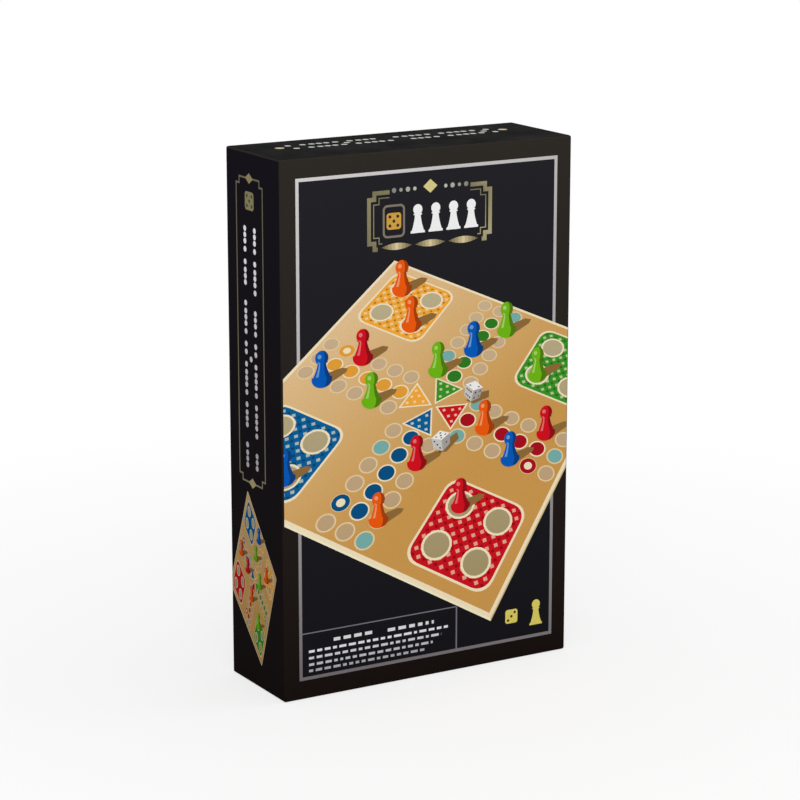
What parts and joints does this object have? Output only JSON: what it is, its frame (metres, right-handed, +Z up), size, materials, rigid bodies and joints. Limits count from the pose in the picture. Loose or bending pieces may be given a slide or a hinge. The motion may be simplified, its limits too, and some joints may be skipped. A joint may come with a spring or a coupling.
{
  "type": "board game box",
  "caption": "Lift-off cardboard board game box with base, moulded tray, folding board, rules leaflet, pawns and dice.",
  "frame": {"origin": "centre of the short end that the box stands on", "axes": "+Z up along the box's longest side, -Y out of the printed front, +X to the right of the front"},
  "size_m": [0.166, 0.056, 0.27],
  "materials": {
    "black_print": "satin laminate",
    "black_wrap": "matt paper wrap",
    "black_plastic_tray": "vacuum formed",
    "board_print": "printed, satin",
    "leaflet_paper": "uncoated",
    "red_plastic": "gloss",
    "green_plastic": "gloss",
    "orange_plastic": "gloss",
    "blue_plastic": "gloss",
    "die_ivory": "gloss"
  },
  "bodies": {
    "lid": {"lid": "black_print"},
    "base": {"base": "black_wrap"},
    "insert": {"insert": "black_plastic_tray"},
    "board_lower": {"board_lower": "board_print"},
    "board_upper": {"board_upper": "board_print"},
    "leaflet": {"leaflet": "leaflet_paper"},
    "pawn_red_1": {"pawn_red_1": "red_plastic"},
    "pawn_red_2": {"pawn_red_2": "red_plastic"},
    "pawn_red_3": {"pawn_red_3": "red_plastic"},
    "pawn_red_4": {"pawn_red_4": "red_plastic"},
    "pawn_green_1": {"pawn_green_1": "green_plastic"},
    "pawn_green_2": {"pawn_green_2": "green_plastic"},
    "pawn_green_3": {"pawn_green_3": "green_plastic"},
    "pawn_green_4": {"pawn_green_4": "green_plastic"},
    "pawn_orange_1": {"pawn_orange_1": "orange_plastic"},
    "pawn_orange_2": {"pawn_orange_2": "orange_plastic"},
    "pawn_orange_3": {"pawn_orange_3": "orange_plastic"},
    "pawn_orange_4": {"pawn_orange_4": "orange_plastic"},
    "pawn_blue_1": {"pawn_blue_1": "blue_plastic"},
    "pawn_blue_2": {"pawn_blue_2": "blue_plastic"},
    "pawn_blue_3": {"pawn_blue_3": "blue_plastic"},
    "pawn_blue_4": {"pawn_blue_4": "blue_plastic"},
    "die_1": {"die_1": "die_ivory"},
    "die_2": {"die_2": "die_ivory"}
  },
  "joints": [
    {"name": "lid_lift", "type": "slide", "parent": "base", "child": "lid", "axis": [0, -1, 0], "range_m": [0, 0.6]},
    {"name": "leaflet_lift", "type": "slide", "parent": "base", "child": "leaflet", "axis": [0, -1, 0], "range_m": [0, 0.57]},
    {"name": "insert_lift", "type": "slide", "parent": "base", "child": "insert", "axis": [0, -1, 0], "range_m": [0, 0.054]},
    {"name": "board_lift", "type": "slide", "parent": "insert", "child": "board_lower", "axis": [0, -1, 0], "range_m": [0, 0.06]},
    {"name": "board_fold", "type": "hinge", "parent": "board_lower", "child": "board_upper", "pos_m": [-0.0625, -0.02145, 0.135], "axis": [0, 0, -1], "range_deg": [0, 180]},
    {"name": "pawn_red_1_lift", "type": "slide", "parent": "insert", "child": "pawn_red_1", "axis": [0, -1, 0], "range_m": [0, 0.04]},
    {"name": "pawn_red_2_lift", "type": "slide", "parent": "insert", "child": "pawn_red_2", "axis": [0, -1, 0], "range_m": [0, 0.04]},
    {"name": "pawn_red_3_lift", "type": "slide", "parent": "insert", "child": "pawn_red_3", "axis": [0, -1, 0], "range_m": [0, 0.04]},
    {"name": "pawn_red_4_lift", "type": "slide", "parent": "insert", "child": "pawn_red_4", "axis": [0, -1, 0], "range_m": [0, 0.04]},
    {"name": "pawn_green_1_lift", "type": "slide", "parent": "insert", "child": "pawn_green_1", "axis": [0, -1, 0], "range_m": [0, 0.04]},
    {"name": "pawn_green_2_lift", "type": "slide", "parent": "insert", "child": "pawn_green_2", "axis": [0, -1, 0], "range_m": [0, 0.04]},
    {"name": "pawn_green_3_lift", "type": "slide", "parent": "insert", "child": "pawn_green_3", "axis": [0, -1, 0], "range_m": [0, 0.04]},
    {"name": "pawn_green_4_lift", "type": "slide", "parent": "insert", "child": "pawn_green_4", "axis": [0, -1, 0], "range_m": [0, 0.04]},
    {"name": "pawn_orange_1_lift", "type": "slide", "parent": "insert", "child": "pawn_orange_1", "axis": [0, -1, 0], "range_m": [0, 0.04]},
    {"name": "pawn_orange_2_lift", "type": "slide", "parent": "insert", "child": "pawn_orange_2", "axis": [0, -1, 0], "range_m": [0, 0.04]},
    {"name": "pawn_orange_3_lift", "type": "slide", "parent": "insert", "child": "pawn_orange_3", "axis": [0, -1, 0], "range_m": [0, 0.04]},
    {"name": "pawn_orange_4_lift", "type": "slide", "parent": "insert", "child": "pawn_orange_4", "axis": [0, -1, 0], "range_m": [0, 0.04]},
    {"name": "pawn_blue_1_lift", "type": "slide", "parent": "insert", "child": "pawn_blue_1", "axis": [0, -1, 0], "range_m": [0, 0.04]},
    {"name": "pawn_blue_2_lift", "type": "slide", "parent": "insert", "child": "pawn_blue_2", "axis": [0, -1, 0], "range_m": [0, 0.04]},
    {"name": "pawn_blue_3_lift", "type": "slide", "parent": "insert", "child": "pawn_blue_3", "axis": [0, -1, 0], "range_m": [0, 0.04]},
    {"name": "pawn_blue_4_lift", "type": "slide", "parent": "insert", "child": "pawn_blue_4", "axis": [0, -1, 0], "range_m": [0, 0.04]},
    {"name": "die_1_lift", "type": "slide", "parent": "insert", "child": "die_1", "axis": [0, -1, 0], "range_m": [0, 0.03]},
    {"name": "die_2_lift", "type": "slide", "parent": "insert", "child": "die_2", "axis": [0, -1, 0], "range_m": [0, 0.03]}
  ],
  "couplings": [
    {"joint": "leaflet_lift", "follows": "lid_lift", "ratio": 0.95},
    {"joint": "insert_lift", "follows": "lid_lift", "ratio": 0.09},
    {"joint": "board_lift", "follows": "lid_lift", "ratio": 0.1},
    {"joint": "board_fold", "follows": "lid_lift", "rad_per_m": 5.2359},
    {"joint": "pawn_red_1_lift", "follows": "lid_lift", "ratio": 0.0666},
    {"joint": "pawn_red_2_lift", "follows": "lid_lift", "ratio": 0.0666},
    {"joint": "pawn_red_3_lift", "follows": "lid_lift", "ratio": 0.0666},
    {"joint": "pawn_red_4_lift", "follows": "lid_lift", "ratio": 0.0666},
    {"joint": "pawn_green_1_lift", "follows": "lid_lift", "ratio": 0.0666},
    {"joint": "pawn_green_2_lift", "follows": "lid_lift", "ratio": 0.0666},
    {"joint": "pawn_green_3_lift", "follows": "lid_lift", "ratio": 0.0666},
    {"joint": "pawn_green_4_lift", "follows": "lid_lift", "ratio": 0.0666},
    {"joint": "pawn_orange_1_lift", "follows": "lid_lift", "ratio": 0.0666},
    {"joint": "pawn_orange_2_lift", "follows": "lid_lift", "ratio": 0.0666},
    {"joint": "pawn_orange_3_lift", "follows": "lid_lift", "ratio": 0.0666},
    {"joint": "pawn_orange_4_lift", "follows": "lid_lift", "ratio": 0.0666},
    {"joint": "pawn_blue_1_lift", "follows": "lid_lift", "ratio": 0.0666},
    {"joint": "pawn_blue_2_lift", "follows": "lid_lift", "ratio": 0.0666},
    {"joint": "pawn_blue_3_lift", "follows": "lid_lift", "ratio": 0.0666},
    {"joint": "pawn_blue_4_lift", "follows": "lid_lift", "ratio": 0.0666},
    {"joint": "die_1_lift", "follows": "lid_lift", "ratio": 0.05},
    {"joint": "die_2_lift", "follows": "lid_lift", "ratio": 0.05}
  ]
}
